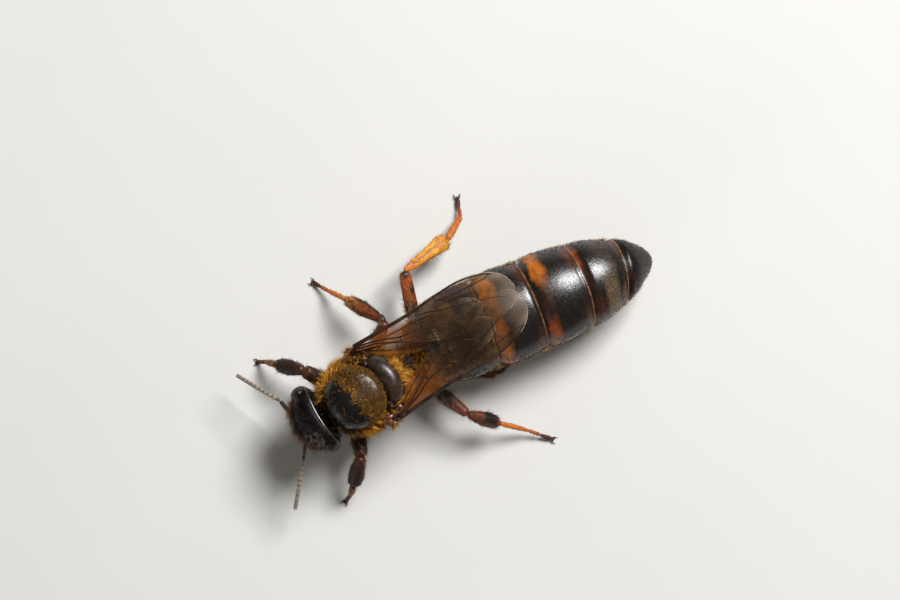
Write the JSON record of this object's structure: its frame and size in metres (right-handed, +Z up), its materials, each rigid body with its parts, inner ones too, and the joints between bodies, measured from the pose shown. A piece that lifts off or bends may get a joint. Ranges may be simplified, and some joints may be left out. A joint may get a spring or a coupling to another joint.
{
  "type": "honey bee queen model",
  "caption": "Life-size standing model of a honey bee queen with folded wings, long banded abdomen, bent feelers and six legs.",
  "frame": {"origin": "on the floor, under the middle of the bounding box", "axes": "+Z up, +Y along the bee from head to tail, +X to the bee's left"},
  "size_m": [0.0136, 0.0216, 0.0065],
  "materials": {
    "body_shell": "dark brown, shiny under the hairs",
    "eye": "near black, glossy, finely faceted",
    "face_plate": "black brown, shiny",
    "mouthpart": "reddish brown, shiny",
    "feeler": "dark brown, dull with fine down",
    "back_plate": "olive brown, shiny",
    "wing_base": "reddish brown, shiny",
    "abdomen_shell": "black with orange red bands, shiny",
    "wing_membrane": "smoky amber, see-through, with brown veins",
    "wing_vein": "dark reddish brown",
    "leg_dark": "dark brown, shiny, with pale hairs",
    "leg_amber": "reddish orange, shiny, slightly see-through",
    "claw": "dark brown, shiny",
    "hair": "golden brown, soft"
  },
  "bodies": {
    "root": {"head": "body_shell", "neck": "body_shell", "pronotum": "body_shell", "thorax_sides": "body_shell", "propodeum": "body_shell", "petiole": "body_shell", "eye_left": "eye", "mandible_left": "mouthpart", "antenna_left_scape": "feeler", "antenna_left_flagellum": "feeler", "tegula_left": "wing_base", "forewing_left": "wing_membrane", "hindwing_left": "wing_membrane", "leg_front_left_coxa": "leg_dark", "leg_front_left_femur": "leg_dark", "leg_front_left_tibia": "leg_amber", "leg_front_left_tarsus": "leg_amber", "leg_middle_left_coxa": "leg_dark", "leg_middle_left_femur": "leg_dark", "leg_middle_left_tibia": "leg_amber", "leg_middle_left_tarsus": "leg_amber", "leg_hind_left_coxa": "leg_dark", "leg_hind_left_femur": "leg_dark", "leg_hind_left_tibia": "leg_amber", "leg_hind_left_tarsus": "leg_amber", "eye_right": "eye", "mandible_right": "mouthpart", "antenna_right_scape": "feeler", "antenna_right_flagellum": "feeler", "tegula_right": "wing_base", "forewing_right": "wing_membrane", "hindwing_right": "wing_membrane", "leg_front_right_coxa": "leg_dark", "leg_front_right_femur": "leg_dark", "leg_front_right_tibia": "leg_amber", "leg_front_right_tarsus": "leg_amber", "leg_middle_right_coxa": "leg_dark", "leg_middle_right_femur": "leg_dark", "leg_middle_right_tibia": "leg_amber", "leg_middle_right_tarsus": "leg_amber", "leg_hind_right_coxa": "leg_dark", "leg_hind_right_femur": "leg_dark", "leg_hind_right_tibia": "leg_amber", "leg_hind_right_tarsus": "leg_amber", "clypeus": "face_plate", "tongue": "mouthpart", "mesoscutum": "back_plate", "scutellum": "back_plate", "abdomen_segment_1": "abdomen_shell", "abdomen_segment_2": "abdomen_shell", "abdomen_segment_3": "abdomen_shell", "abdomen_segment_4": "abdomen_shell", "abdomen_segment_5": "abdomen_shell", "abdomen_segment_6": "abdomen_shell"}
  },
  "joints": []
}
